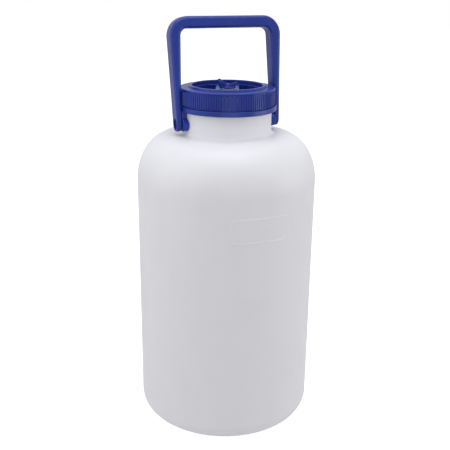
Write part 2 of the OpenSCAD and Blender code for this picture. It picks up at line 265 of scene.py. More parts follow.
def turned_solid(name: str, outline: Outline, columns: int, ring: bool = False,
                 place: Matrix | None = None) -> bpy.types.Object:
    """Makes an object of one outline turned about Z, with equally spaced columns."""
    sketch = Sketch()
    sketch.turned(outline, even(columns), ring, place=place)
    return sketch.to_object(name)


def lofted_solid(name: str, rings: Sequence[object]) -> bpy.types.Object:
    """Makes an object of one skin over a row of rings."""
    sketch = Sketch()
    sketch.lofted(np.array(rings))
    return sketch.to_object(name)


def settle(piece: bpy.types.Object) -> None:
    """Turns a piece's modifiers into its own mesh."""
    graph = bpy.context.evaluated_depsgraph_get()
    mesh = bpy.data.meshes.new_from_object(piece.evaluated_get(graph))
    piece.modifiers.clear()
    old, piece.data = piece.data, mesh
    bpy.data.meshes.remove(old)


def combine(piece: bpy.types.Object, tool: bpy.types.Object, how: Combine) -> None:
    """Adds a solid to a piece, or cuts it away.

    Args:
        piece: The solid that changes.
        tool: The solid that is added or cut away, which is used up.
        how: Whether it is added or cut.
    """
    step = piece.modifiers.new("combine", "BOOLEAN")
    step.operation = how.value
    step.solver = "EXACT"
    step.object = tool
    settle(piece)
    bpy.data.objects.remove(tool)


def shade(piece: bpy.types.Object) -> None:
    """Smooths a piece's shading, and keeps its flats flat and its hard edges crisp."""
    shape = bmesh.new()
    shape.from_mesh(piece.data)
    for face in shape.faces:
        face.smooth = True
    for edge in shape.edges:
        edge.smooth = edge.calc_face_angle(0.0) < SHARP
    shape.to_mesh(piece.data)
    shape.free()
    weigh = piece.modifiers.new("weigh", "WEIGHTED_NORMAL")
    weigh.mode = "FACE_AREA"
    weigh.keep_sharp = True
    settle(piece)


@dataclass(frozen=True)
class Thread:
    """One helical ridge, which runs out at both ends.

    Its depth is from the wall to the crest, its foot and top are its widths at the wall and at the
    crest, and its pitch is its rise in one turn.
    """

    depth: float
    foot: float
    top: float
    pitch: float
    turns: float = 1.25

    def rings(self, root: float, height: float, side: int = 1) -> np.ndarray:
        """Rings of the ridge, for Sketch.lofted.

        Args:
            root: The radius of the wall that carries the ridge.
            height: The height that its middle has at angle 0.
            side: 1 where the ridge is outside the wall, -1 where it is inside.

        Returns:
            The rings' points.
        """
        steps = round(self.turns * THREAD_STEPS)
        eased = root + side * self.depth - root
        rings = []
        for i in range(steps + 1):
            angle = i * TAU / THREAD_STEPS
            full = min(1.0, min(i, steps - i) / THREAD_RUN_OUT + 0.05)
            reach = root + eased * math.sin(full * math.pi / 2)
            middle = height + self.pitch * angle / TAU
            foot, flank = root - side * BURIED, reach - eased * 0.12 * full
            section = [(foot, -self.foot / 2), (flank, -self.top / 2), (reach, -self.top / 2 * 0.6),
                       (reach, self.top / 2 * 0.6), (flank, self.top / 2), (foot, self.foot / 2)]
            rings.append([(r * math.cos(angle), r * math.sin(angle), middle + z)
                          for r, z in section])
        return np.array(rings)


NECK_THREAD = Thread(0.0026, 0.003, 0.0014, 0.008)
CAP_THREAD = Thread(0.0025, 0.003, 0.0014, 0.008)
VENT_THREAD = Thread(0.001, 0.0015, 0.0006, 0.004)


# ---- Finishes ----

class Surface:
    """A material's node tree, with short ways to add and join its nodes."""

    def __init__(self, name: str) -> None:
        """Makes an empty material of this name with its shader and output."""
        self.material = bpy.data.materials.new(name)
        self.material.use_nodes = True
        self.tree = self.material.node_tree
        self.shader = self.tree.nodes["Principled BSDF"]
        self.where = self.tree.nodes.new("ShaderNodeTexCoord").outputs["Object"]

    def feed(self, socket: bpy.types.NodeSocket, value: object) -> None:
        """Joins an output to an input, or sets the input's own value."""
        if isinstance(value, bpy.types.NodeSocket):
            self.tree.links.new(value, socket)
        else:
            socket.default_value = value

    def node(self, kind: str, values: dict[str, object] | None = None,
             **settings: object) -> bpy.types.Node:
        """Adds one node.

        Args:
            kind: The node's type.
            values: What its inputs are set to, or the outputs that they are joined to.
            settings: The node's own settings.

        Returns:
            The node.
        """
        made = self.tree.nodes.new(kind)
        for key, value in settings.items():
            setattr(made, key, value)
        for key, value in (values or {}).items():
            self.feed(made.inputs[key], value)
        return made

    def noise(self, scale: float, detail: float = 2.0,
              stretch: tuple[float, float, float] = (1, 1, 1)) -> bpy.types.NodeSocket:
        """A noise over the piece, whose scale is in features a metre along each axis."""
        placed = self.node("ShaderNodeMapping", {"Vector": self.where, "Scale": stretch})
        made = self.node("ShaderNodeTexNoise", {"Vector": placed.outputs["Vector"], "Scale": scale,
                                                "Detail": detail, "Roughness": 0.55})
        return made.outputs["Fac"]

    def spread(self, value: bpy.types.NodeSocket, low: float, high: float, from_low: float = 0.3,
               from_high: float = 0.7) -> bpy.types.NodeSocket:
        """The value mapped from its own range onto another, and held inside it."""
        made = self.node("ShaderNodeMapRange", {"Value": value, "From Min": from_low,
                                                "From Max": from_high, "To Min": low,
                                                "To Max": high}, clamp=True)
        return made.outputs["Result"]

    def blend(self, share: bpy.types.NodeSocket, first: object,
              second: object) -> bpy.types.NodeSocket:
        """A colour between two colours or colour outputs, at a share that a node gives."""
        made = self.tree.nodes.new("ShaderNodeMix")
        made.data_type = "RGBA"
        self.tree.links.new(share, made.inputs[0])
        for socket, value in ((made.inputs[6], first), (made.inputs[7], second)):
            joined = isinstance(value, bpy.types.NodeSocket)
            self.feed(socket, value if joined else (*value, 1))
        return made.outputs[2]

    def relief(self, heights: Sequence[tuple[bpy.types.NodeSocket, float, float]]) -> None:
        """Bumps the surface by several layers.

        Args:
            heights: Each layer's output, its depth in metres and its strength.
        """
        under = None
        for value, depth, strength in heights:
            values = {"Height": value, "Distance": depth, "Strength": strength}
            if under is not None:
                values["Normal"] = under
            under = self.node("ShaderNodeBump", values).outputs["Normal"]
        self.tree.links.new(under, self.shader.inputs["Normal"])

    def set(self, **values: object) -> None:
        """Sets or joins the shader's own inputs, where an underscore stands for a space."""
        for key, value in values.items():
            self.feed(self.shader.inputs[key.replace("_", " ")], value)


@dataclass(frozen=True)
class MilkyPolyethylene:
    """Undyed blow-moulded polyethylene: milky, satin, and a little uneven in its wall."""

    name: str = "milky_polyethylene"
    thick: tuple[float, float, float] = (0.790, 0.783, 0.822)
    thin: tuple[float, float, float] = (0.825, 0.822, 0.860)
    grubby: tuple[float, float, float] = (0.755, 0.745, 0.775)
    scatter: tuple[float, float, float] = (0.014, 0.014, 0.017)

    def material(self) -> bpy.types.Material:
        """Makes the material."""
        look = Surface(self.name)
        wall = look.spread(look.noise(7.0, 3.0, (1, 1, 0.45)), 0, 1)
        streaks = look.spread(look.noise(60.0, 2.0, (1, 1, 0.06)), 0, 0.35)
        handled = look.spread(look.noise(24.0, 6.0), 0, 0.30, 0.55, 0.75)
        colour = look.blend(wall, self.thick, self.thin)
        colour = look.blend(streaks, colour, self.thin)
        colour = look.blend(handled, colour, self.grubby)
        rough = look.spread(look.noise(40.0, 4.0), 0.36, 0.50)
        look.set(Base_Color=colour, Roughness=rough, IOR=1.51, Subsurface_Weight=0.45,
                 Subsurface_Radius=self.scatter, Subsurface_Scale=1.0)
        look.relief([(look.noise(16.0, 1.0), 0.0016, 0.18), (look.noise(420.0, 3.0), 0.0003, 0.10),
                     (look.noise(2600.0, 2.0), 0.00008, 0.12)])
        return look.material


@dataclass(frozen=True)
class BluePlastic:
    """Moulded royal-blue plastic: semi-gloss, fine grained, paler where its edges have rubbed."""

    name: str = "moulded_blue"
    deep: tuple[float, float, float] = (0.004, 0.020, 0.190)
    bright: tuple[float, float, float] = (0.008, 0.030, 0.265)
    rubbed: tuple[float, float, float] = (0.035, 0.075, 0.370)
    gloss: tuple[float, float] = (0.27, 0.38)

    def material(self) -> bpy.types.Material:
        """Makes the material."""
        look = Surface(self.name)
        flow = look.spread(look.noise(26.0, 3.0, (1, 1, 0.4)), 0, 1)
        edge = look.node("ShaderNodeNewGeometry").outputs["Pointiness"]
        worn = look.spread(edge, 0, 0.55, 0.53, 0.62)
        patchy = look.node("ShaderNodeMath", operation="MULTIPLY")
        look.tree.links.new(worn, patchy.inputs[0])
        look.tree.links.new(look.spread(look.noise(90.0, 4.0), 0.15, 1.0), patchy.inputs[1])
        colour = look.blend(flow, self.deep, self.bright)
        colour = look.blend(patchy.outputs[0], colour, self.rubbed)
        rough = look.spread(look.noise(130.0, 4.0), *self.gloss)
        look.set(Base_Color=colour, Roughness=rough, IOR=1.50, Specular_IOR_Level=0.36,
                 Coat_Weight=0.06, Coat_Roughness=0.16)
        look.relief([(look.noise(70.0, 2.0), 0.0004, 0.10),
                     (look.noise(1500.0, 3.0), 0.00012, 0.16)])
        return look.material


@dataclass(frozen=True)
class SealFoam:
    """Closed-cell sealing foam: off-white, matt, with small cells."""

    name: str = "sealing_foam"
    body: tuple[float, float, float] = (0.60, 0.60, 0.56)
    shaded: tuple[float, float, float] = (0.48, 0.48, 0.44)

    def material(self) -> bpy.types.Material:
        """Makes the material."""
        look = Surface(self.name)
        cells = look.node("ShaderNodeTexVoronoi", {"Vector": look.where, "Scale": 1400.0})
        depth = cells.outputs["Distance"]
        shade_share = look.spread(depth, 0, 1, 0.1, 0.6)
        rough = look.spread(look.noise(200.0), 0.72, 0.88)
        look.set(Base_Color=look.blend(shade_share, self.shaded, self.body), Roughness=rough)
        look.relief([(depth, 0.0002, 0.5)])
        return look.material


@dataclass(frozen=True)
class Finishes:
    """The materials that the pieces share."""

    bottle: bpy.types.Material
    blue: bpy.types.Material
    seal: bpy.types.Material

    @classmethod
    def make(cls) -> "Finishes":
        """Makes each finish once."""
        return cls(MilkyPolyethylene().material(), BluePlastic().material(), SealFoam().material())


def dress(piece: bpy.types.Object, node: str, body: str,
          material: bpy.types.Material) -> bpy.types.Object:
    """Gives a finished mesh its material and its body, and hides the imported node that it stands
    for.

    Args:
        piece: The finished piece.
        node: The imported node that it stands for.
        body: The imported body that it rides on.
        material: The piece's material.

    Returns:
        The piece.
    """
    piece.data.materials.clear()
    piece.data.materials.append(material)
    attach(piece, body)
    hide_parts(node)
    return piece


# ---- Bottle ----

@dataclass
class Bottle:
    """The blown bottle: foot ring, heel, straight side, shoulder, neck, bead, thread and lip."""

    wall: float = 0.0022
    heel_radius: float = 0.021
    base_rise: float = 0.0045
    foot_width: float = 0.008
    neck_height: float = 0.0484
    shoulder_rise: float = 0.053
    shoulder_land: float = 0.013
    neck_fillet: float = 0.005
    neck_radius: float = 0.0509
    neck_wall: float = 0.0028
    finish_step: float = 0.0021
    lip_width: float = 0.003
    bead_drop: float = 0.019
    bead_out: float = 0.0017
    bead_height: float = 0.0025
    thread_gap: float = 0.0003
    panel_length: float = 0.069
    panel_height: float = 0.028
    panel_middle: float = 0.262
    panel_corner: float = 0.006
    panel_line: float = 0.0016
    panel_out: float = 0.0003
    panel_soft: float = 0.0006
    parting_out: float = 0.00012
    parting_half: float = 0.0004
    pinch_length: float = 0.096
    pinch_width: float = 0.0016
    pinch_height: float = 0.0012

    def __post_init__(self) -> None:
        """Takes the radius and the lip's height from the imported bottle."""
        _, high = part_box("bottle_body")
        self.radius = high.x
        self.lip = high.z
        self.top = self.lip - self.neck_height
        self.side_top = self.top - self.shoulder_rise
        self.bead = self.lip - self.bead_drop
        self.finish_radius = self.neck_radius - self.finish_step
        self.mouth_radius = self.finish_radius - self.lip_width
        self.bead_radius = self.neck_radius + self.bead_out

    def shoulder(self, inset: float) -> Outline:
        """The shoulder's quarter ellipse, set in from the outside by an amount."""
        inner = self.neck_radius + self.shoulder_land
        across, up = self.radius - inner - inset, self.shoulder_rise - inset
        angles = np.linspace(0, math.pi / 2, 29)[1:]
        return [(inner + across * math.cos(a), self.side_top + up * math.sin(a)) for a in angles]

    def side_heights(self) -> list[float]:
        """Heights of the rows up the straight side, which are close together behind the panel."""
        margin = self.panel_height / 2 + 0.001
        low, high = self.panel_middle - margin, self.panel_middle + margin
        below = np.linspace(self.heel_radius + 0.004, low, 24)
        behind = np.linspace(low, high, round((high - low) / 0.0005) + 1)[1:]
        above = np.linspace(high, self.side_top, 5)[1:]
        return [float(z) for z in np.concatenate([below, behind, above])]

    def outside(self) -> Outline:
        """The outside, from the axis under the base to the lip."""
        foot_in = self.radius - self.heel_radius - self.foot_width
        base = rounded([(0, self.base_rise, 0), (foot_in - self.base_rise, self.base_rise, 0.003),
                        (foot_in, 0, 0.0012), (self.radius, 0, self.heel_radius),
                        (self.radius, self.side_heights()[0], 0)], closed=False)
        side = [(self.radius, z) for z in self.side_heights()[1:]]
        neck = rounded([(self.neck_radius + self.shoulder_land - 0.002, self.top, 0),
                        (self.neck_radius, self.top, self.neck_fillet),
                        (self.neck_radius, self.bead, 0.0004),
                        (self.bead_radius, self.bead, 0.0005),
                        (self.bead_radius, self.bead + self.bead_height, 0.0009),
                        (self.finish_radius, self.bead + self.bead_height, 0.0005),
                        (self.finish_radius, self.lip, 0.0008),
                        (self.mouth_radius + 0.0012, self.lip, 0)], closed=False)
        return base + side + self.shoulder(0) + neck

    def inside(self) -> Outline:
        """The inside, from the lip to the axis above the base."""
        foot_in = self.radius - self.heel_radius - self.foot_width
        inner = self.radius - self.wall
        neck_in = self.neck_radius - self.neck_wall
        neck = rounded([(self.mouth_radius + 0.0011, self.lip, 0),
                        (self.mouth_radius, self.lip, 0.0006),
                        (self.mouth_radius, self.bead, 0.002),
                        (neck_in, self.bead - self.neck_wall, 0.002),
                        (neck_in, self.top - self.wall + 0.0008, 0.001),
                        (self.neck_radius + self.shoulder_land - 0.001, self.top - self.wall, 0)],
                       closed=False)
        side = [(inner, z) for z in np.linspace(self.side_top, self.heel_radius + 0.004, 12)]
        base = rounded([(inner, self.heel_radius + 0.003, 0),
                        (inner, self.wall, self.heel_radius - self.wall),
                        (foot_in, self.wall, 0.002),
                        (foot_in - self.base_rise, self.base_rise + self.wall, 0.003),
                        (0, self.base_rise + self.wall, 0)], closed=False)
        return neck + self.shoulder(self.wall)[::-1] + side + base

    def columns(self) -> np.ndarray:
        """Angles of the mesh's columns: close together at the panel and at the parting lines."""
        front = -math.pi / 2
        reach = self.panel_length / 2 / self.radius + 0.02
        panel = np.linspace(front - reach, front + reach, 136)
        line = self.parting_half / self.radius
        right = np.linspace(front + reach, -2 * line, 34)[1:]
        seam = np.array([-line, 0, line, 2 * line])
        back = np.linspace(2 * line, math.pi - 2 * line, 90)[1:]
        left = np.linspace(math.pi + 2 * line, front - reach + TAU, 34)[:-1]
        return np.concatenate([panel, right, seam, back, math.pi + seam[:3], left])

    def relief(self, outside_rows: int, heights: np.ndarray) -> Bulge:
        """The raised outline of the blank panel and the mould's two parting lines.

        Args:
            outside_rows: How many of the outline's rows are on the outside.
            heights: Each row's height.

        Returns:
            The function that gives each vertex's bulge.
        """
        def bulge(row: np.ndarray, angle: np.ndarray) -> np.ndarray:
            """How far each vertex stands out."""
            z = heights[row]
            outer = row < outside_rows
            across = np.abs(self.radius * (angle + math.pi / 2))
            across = across - self.panel_length / 2 + self.panel_corner
            up = np.abs(z - self.panel_middle) - self.panel_height / 2 + self.panel_corner
            edge = np.hypot(np.maximum(across, 0), np.maximum(up, 0)) - self.panel_corner
            edge = edge + np.minimum(np.maximum(across, up), 0)
            line = 1 - np.abs(edge + self.panel_line / 2) / (self.panel_line / 2 + self.panel_soft)
            panel = self.panel_out * fade(line * 1.2)
            to_seam = np.abs(np.sin(angle)) * self.radius
            seam = self.parting_out * np.clip(1 - to_seam / self.parting_half, 0, 1)
            seam = seam * fade((z - 0.004) / 0.01) * (z < self.bead - 0.004)
            return np.where(outer, panel + seam, 0)

        return bulge

    def build(self, finishes: Finishes) -> bpy.types.Object:
        """Builds and dresses the bottle."""
        outside, inside = self.outside(), self.inside()
        outline = outside + inside
        heights = np.array([z for _, z in outline[1:-1]])
        sketch = Sketch()
        relief = self.relief(len(outside) - 1, heights)
        sketch.turned(outline, self.columns(), ring=False, bulge=relief)
        first = self.bead + self.bead_height + NECK_THREAD.foot / 2 + self.thread_gap
        sketch.lofted(NECK_THREAD.rings(self.finish_radius, first))
        sketch.lofted(self.pinch())
        bottle = sketch.to_object("bottle")
        shade(bottle)
        return dress(bottle, "bottle_body", "bottle", finishes.bottle)

    def pinch(self) -> np.ndarray:
        """Rings of the ridge that the mould's closing leaves across the base."""
        half, ends = self.pinch_length / 2, 6
        places = [-half + half * 0.06 * (1 - math.cos(math.pi / 2 * i / ends))
                  for i in range(ends + 1)]
        rings = []
        for x in places + [-x for x in reversed(places)]:
            full = math.sqrt(max(0.0, 1 - (max(0.0, abs(x) - half * 0.94) / (half * 0.06)) ** 2))
            wide = self.pinch_width / 2 * max(full, 0.1)
            deep = self.pinch_height * max(full, 0.1)
            low = self.base_rise - deep
            rings.append([(x, -wide, self.base_rise + BURIED), (x, -wide, low + deep * 0.4),
                          (x, -wide * 0.5, low), (x, wide * 0.5, low), (x, wide, low + deep * 0.4),
                          (x, wide, self.base_rise + BURIED)])
        return np.array(rings)


# ---- Collar ----

@dataclass
class Collar:
    """The band under the neck's bead, with its two lugs and their stub pins."""

    band_height: float = 0.0057
    band_lip: float = 0.0022
    band_radius: float = 0.0563
    neck_bore: float = 0.0513
    bead_bore: float = 0.0530
    lug_radius: float = 0.0075
    lug_half_width: float = 0.012
    lug_inner: float = 0.0488
    lug_outer: float = 0.0566
    stem_half_width: float = 0.006
    lug_edge: float = 0.0012
    pin_radius: float = 0.004
    pin_chamfer: float = 0.0007
    dimple_radius: float = 0.0016
    columns: int = 192

    def __post_init__(self) -> None:
        """Takes the band's top, the pins' ends and the pivots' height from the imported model."""
        _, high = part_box("neck_collar")
        self.top = high.z
        self.pin_end = high.x
        self.pivot = pivot_height()

    def band(self) -> Outline:
        """The band's section."""
        low = self.top - self.band_height
        return rounded([(self.neck_bore, low, 0.0003), (self.band_radius, low, 0.0012),
                        (self.band_radius, self.top, 0.0009), (self.bead_bore, self.top, 0.0003),
                        (self.bead_bore, low + self.band_lip, 0.0002),
                        (self.neck_bore, low + self.band_lip, 0.0003)], closed=True)

    def lug(self) -> bpy.types.Object:
        """The lug on the +X side: a wide rounded pad that hugs the neck, on a narrower stem."""
        edge, reach = self.lug_edge, self.lug_half_width - self.lug_radius
        bends = np.linspace(0, math.pi / 2, 7)
        levels = [(self.lug_inner, 0.0)]
        levels += [(self.lug_outer - edge * (1 - math.sin(a)), edge * (1 - math.cos(a)))
                   for a in bends]
        pads, stems = [], []
        top = self.top - self.band_height + self.band_lip
        for x, inset in levels:
            radius = self.lug_radius - inset
            plan = arc(reach, self.pivot, radius, -math.pi / 2, math.pi / 2, 24)
            plan += arc(-reach, self.pivot, radius, math.pi / 2, 3 * math.pi / 2, 24)
            pads.append([(x, y, z) for y, z in plan])
            half = self.stem_half_width - inset
            stems.append([(x, half, self.pivot), (x, half, top), (x, -half, top),
                          (x, -half, self.pivot)])
        low, high = self.pivot - 2 * self.lug_radius, self.top + self.band_height
        neck = [(0, low), (self.neck_bore, low), (self.neck_bore, high), (0, high)]
        lug = lofted_solid("lug", pads)
        combine(lug, lofted_solid("stem", stems), Combine.ADD)
        combine(lug, turned_solid("neck", neck, self.columns), Combine.CUT)
        return lug

    def pin(self) -> Outline:
        """The stub pin's outline along its own axis, which starts inside the lug."""
        start, end, edge = self.lug_outer - BURIED, self.pin_end, self.pin_chamfer
        return rounded([(0, start, 0), (self.pin_radius, start, 0),
                        (self.pin_radius, end, edge), (self.dimple_radius, end, 0.0004),
                        (self.dimple_radius * 0.4, end - 0.0006, 0.0003), (0, end - 0.0006, 0)],
                       closed=False)

    def build(self, finishes: Finishes) -> bpy.types.Object:
        """Builds and dresses the collar."""
        sketch = Sketch()
        sketch.turned(self.band(), even(self.columns), ring=True)
        lug = self.lug()
        for side in (Matrix.Identity(4), Matrix.Rotation(math.pi, 4, "Z")):
            sketch.copy(lug, side)
            along = Matrix.Translation((0, 0, self.pivot)) @ Matrix.Rotation(math.pi / 2, 4, "Y")
            sketch.turned(self.pin(), even(48), ring=False, place=side @ along)
        bpy.data.objects.remove(lug)
        collar = sketch.to_object("collar")
        shade(collar)
        return dress(collar, "neck_collar", "collar", finishes.blue)


def pivot_height() -> float:
    """Height of the handle's pivots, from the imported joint."""
    return next(j["pos_m"][2] for j in frame["joints"] if j["name"] == "handle_swing")


# ---- Handle ----

@dataclass
class Handle:
    """The carrying handle: one flat bar with rounded edges and an eye at each end."""

    rise: float = 0.1168
    bar_thickness: float = 0.013
    strap_width: float = 0.020
    eye_radius: float = 0.008
    eye_inner: float = 0.0570
    eye_outer: float = 0.0624
    eye_edge: float = 0.0011
    flare: float = 0.0036
    thicken: float = 0.0031
    corner: float = 0.008
    hole_radius: float = 0.0041
    hole_flare: float = 0.0004
    cup_radius: float = 0.006
    lean: float = math.radians(6.6)
    widen_over: float = 0.040
    bar_edge: float = 0.0040
    edge_steps: int = 6

    def stations(self) -> list[tuple[Vector, Vector, float, float]]:
        """Stations from the +X eye's foot to the middle of the bar.

        Returns:
            Each station's inner and outer point in the handle's plane, its half width across that
            plane, and the radius of its section's edges.
        """
        corner_z = self.rise - self.bar_thickness - self.corner
        lean_out = math.atan(self.flare / (corner_z + self.eye_radius))
        lean_in = math.atan(self.thicken / (corner_z - self.eye_radius))
        around = self.corner + self.bar_thickness
        out_x = self.eye_outer + self.flare - around / math.cos(lean_out)
        in_x = self.eye_inner - self.thicken - self.corner / math.cos(lean_in)
        made = []
        foot = [-self.eye_radius * math.cos(a) for a in np.linspace(0.03, math.pi / 2, 18)]
        arm = [float(z) for z in np.linspace(0, corner_z, 44)[1:]]
        for z in foot + arm:
            climb = max(0.0, (z - self.eye_radius) / (corner_z - self.eye_radius))
            swell = max(0.0, (z + self.eye_radius) / (corner_z + self.eye_radius))
            inner = self.eye_inner - self.thicken * climb
            outer = self.eye_outer + self.flare * swell
            past = max(0.0, abs(z) - (self.eye_radius - self.eye_edge)) if z < 0 else 0.0
            trim = self.eye_edge - math.sqrt(max(0.0, self.eye_edge ** 2 - past ** 2))
            wide = math.sqrt(max(self.eye_radius ** 2 - z ** 2, 0)) if z < 0 else self.eye_radius
            grown = float(fade(np.array(max(z, 0) / self.widen_over)))
            wide += (self.strap_width / 2 - self.eye_radius) * grown
            edge = self.eye_edge + (self.bar_edge - self.eye_edge) * grown
            made.append((Vector((inner + trim, z)), Vector((outer - trim, z)), wide, edge))
        turn = 20
        inside = arc(in_x, corner_z, self.corner, lean_in, math.pi / 2, turn)[1:]
        outside = arc(out_x, corner_z, around, -lean_out, math.pi / 2, turn)[1:]
        half = self.strap_width / 2
        edge = self.bar_edge
        made += [(Vector(i), Vector(o), half, edge) for i, o in zip(inside, outside, strict=True)]
        last_in, last_out = inside[-1], outside[-1]
        for share in np.linspace(1, 0, 14)[1:]:
            made.append((Vector((last_in[0] * share, last_in[1])),
                         Vector((last_out[0] * share, last_out[1])), half, edge))
        return made

    def rings(self) -> np.ndarray:
        """Rings of the whole bar, from the +X eye over the top to the -X eye."""
        half = self.stations()
        mirror = [(Vector((-i.x, i.y)), Vector((-o.x, o.y)), w, n)
                  for i, o, w, n in reversed(half[:-1])]
        rings = []
        for inner, outer, wide, edge in half + mirror:
            middle, reach = (inner + outer) / 2, (outer - inner) / 2
            deep, along = reach.length, reach.normalized()
            radius = min(edge, 0.98 * wide, 0.98 * deep)
            ring = []
            for quarter, (across, up) in enumerate(((1, 1), (-1, 1), (-1, -1), (1, -1))):
                start = quarter * math.pi / 2
                for u, v in arc(across * (deep - radius), up * (wide - radius), radius, start,
                                start + math.pi / 2, self.edge_steps):
                    place = middle + along * u
                    ring.append((place.x, v, place.y))
            rings.append(ring)
        return np.array(rings)

    def eye_cutter(self, side: int) -> bpy.types.Object:
        """The pin's hole through one eye, and the round cup in the eye's outer face."""
        low, lip, past = self.eye_inner, self.hole_flare, 0.006
        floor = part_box("neck_collar")[1].x
        mouth = self.eye_outer + self.flare * self.eye_radius / self.rise
        outline = rounded([(0, low - past, 0), (self.hole_radius + lip + past, low - past, 0),
                           (self.hole_radius + lip, low, 0), (self.hole_radius, low + lip, 0),
                           (self.hole_radius, floor, 0.0003), (self.cup_radius, floor, 0.0006),
                           (self.cup_radius, mouth - lip, 0.0004),
                           (self.cup_radius + lip + past, mouth + past, 0), (0, mouth + past, 0)],
                          closed=False)
        along = Matrix.Rotation(side * math.pi / 2, 4, "Y")
        return turned_solid("eye_cutter", outline, 96, place=along)

    def build(self, finishes: Finishes) -> bpy.types.Object:
        """Builds and dresses the handle."""
        handle = lofted_solid("handle", self.rings())
        for side in (1, -1):
            combine(handle, self.eye_cutter(side), Combine.CUT)
        upright = Matrix.Translation((0, 0, pivot_height())) @ Matrix.Rotation(-self.lean, 4, "X")
        handle.data.transform(upright)
        shade(handle)
        return dress(handle, "carry_handle", "handle", finishes.blue)


# ---- Cap ----

@dataclass
class Cap:
    """The screw cap: ribbed skirt, rounded rim, and a recess with two finger pockets and a web."""

    skirt_in: float = 0.0518
    skirt_out: float = 0.0539
    ribs: int = 120
    rib_height: float = 0.0008
    rib_run_out: float = 0.0009
    hem: float = 0.0006
    top_thickness: float = 0.0024
    lip_rise: float = 0.0022
    rim_round: float = 0.0015
    cup_radius: float = 0.0424
    recess_radius: float = 0.0402
    lip_width: float = 0.0034
    web_drop: float = 0.0023
    web_width: float = 0.027
    pocket_radius: float = 0.0387
    pocket_depth: float = 0.0065
    pocket_corner: float = 0.005
    pocket_floor_round: float = 0.0016
    pocket_edge_round: float = 0.0008
    bore_radius: float = 0.0064
    boss_radius: float = 0.0086
    bore_chamfer: float = 0.0004
    web_wall: float = 0.0022
    hollow_share: float = 0.9
    hollow_corner: float = 0.002
    overrun: float = 0.002
    vent_thread_rise: float = 0.0028

    def __post_init__(self) -> None:
        """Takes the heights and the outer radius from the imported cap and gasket."""
        low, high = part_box("screw_cap")
        self.skirt = low.z
        self.rim = high.z - self.lip_rise
        self.radius = high.x
        self.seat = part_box("cap_gasket")[1].z
        self.web = self.rim - self.web_drop
        self.floor = self.web - self.pocket_depth
        self.cup_bottom = self.floor - self.top_thickness
        self.rib_low = self.skirt + self.hem
        self.rib_high = self.rim - self.rim_round - 0.0011

    def shell_outline(self) -> Outline:
        """The section of the skirt, rim, lip and recess wall."""
        groove = self.skirt_out - 0.0003
        lip_out = self.recess_radius + self.lip_width
        return rounded([
            (self.skirt_in, self.skirt, 0.0004), (self.skirt_out, self.skirt, 0.0003),
            (self.skirt_out, self.rib_low, 0), (self.skirt_out, self.rib_low + self.rib_run_out, 0),
            (self.skirt_out, self.rib_high - self.rib_run_out, 0),
            (self.skirt_out, self.rib_high, 0),
            (groove, self.rib_high + 0.0002, 0.0001), (groove, self.rib_high + 0.0006, 0.0001),
            (self.radius - 0.0001, self.rib_high + 0.0009, 0.0004),
            (self.radius - 0.0001, self.rim, self.rim_round),
            (lip_out + 0.0006, self.rim, 0.0006), (lip_out, self.rim + self.lip_rise, 0.0011),
            (self.recess_radius, self.rim + self.lip_rise, 0.0007),
            (self.recess_radius, self.cup_bottom, 0.0004),
            (self.cup_radius, self.cup_bottom, 0.0005),
            (self.cup_radius, self.seat, 0.0006), (self.skirt_in, self.seat, 0.0006)], closed=True)

    def rib_bulge(self, outline: Outline) -> Bulge:
        """The grip ribs: narrow crests with plain flats between, run out at both ends."""
        heights = np.array([z for _, z in outline])
        radii = np.array([r for r, _ in outline])
        on_skirt = np.abs(radii - self.skirt_out) < 1e-6

        def bulge(row: np.ndarray, angle: np.ndarray) -> np.ndarray:
            """How far each vertex of the skirt stands out."""
            share = np.mod(angle * self.ribs / TAU, 1)
            crest = np.where((share > 0.25) & (share < 0.50), 1.0, 0.0)
            z = heights[row]
            inside = (z > self.rib_low + 1e-6) & (z < self.rib_high - 1e-6) & on_skirt[row]
            return np.where(inside, crest * self.rib_height, 0)

        return bulge

    def rib_angles(self) -> np.ndarray:
        """Angles of the skirt's columns: six to a rib, at its feet, its crest and the flat."""
        shares = np.array([0.02, 0.19, 0.29, 0.46, 0.60, 0.80])
        return ((np.arange(self.ribs)[:, None] + shares[None, :]) * TAU / self.ribs).ravel()

    def pocket(self, inset: float) -> Outline:
        """One finger pocket's plan on the +X side, a D with round corners, set in by an amount."""
        outer = self.pocket_radius - inset
        chord = self.web_width / 2 + inset
        corner = self.pocket_corner - inset
        reach = outer - corner
        side = math.sqrt(reach ** 2 - (chord + corner) ** 2)
        turn = math.atan2(side, chord + corner)
        upper = arc(chord + corner, side, corner, turn, math.pi, 12)
        lower = arc(chord + corner, -side, corner, math.pi, TAU - turn, 12)
        rim = arc(0, 0, outer, -turn, turn, 40)[1:-1]
        wall = [(chord, side * (1 - 2 * share)) for share in np.linspace(0, 1, 12)[1:-1]]
        return upper + wall + lower + rim

    def pocket_cutter(self, side: int) -> bpy.types.Object:
        """The solid that hollows one pocket, with a round floor edge and a round top edge."""
        levels = []
        for a in np.linspace(0, math.pi / 2, 7):
            levels.append((self.floor + self.pocket_floor_round * (1 - math.cos(a)),
                           self.pocket_floor_round * (1 - math.sin(a))))
        for a in np.linspace(0, math.pi / 2, 6):
            levels.append((self.web - self.pocket_edge_round * (1 - math.sin(a)),
                           -self.pocket_edge_round * (1 - math.cos(a))))
        levels.append((self.web + self.overrun, -self.pocket_edge_round - 0.0002))
        rings = [[(side * x, side * y, z) for x, y in self.pocket(inset)] for z, inset in levels]
        return lofted_solid("pocket_cutter", rings)

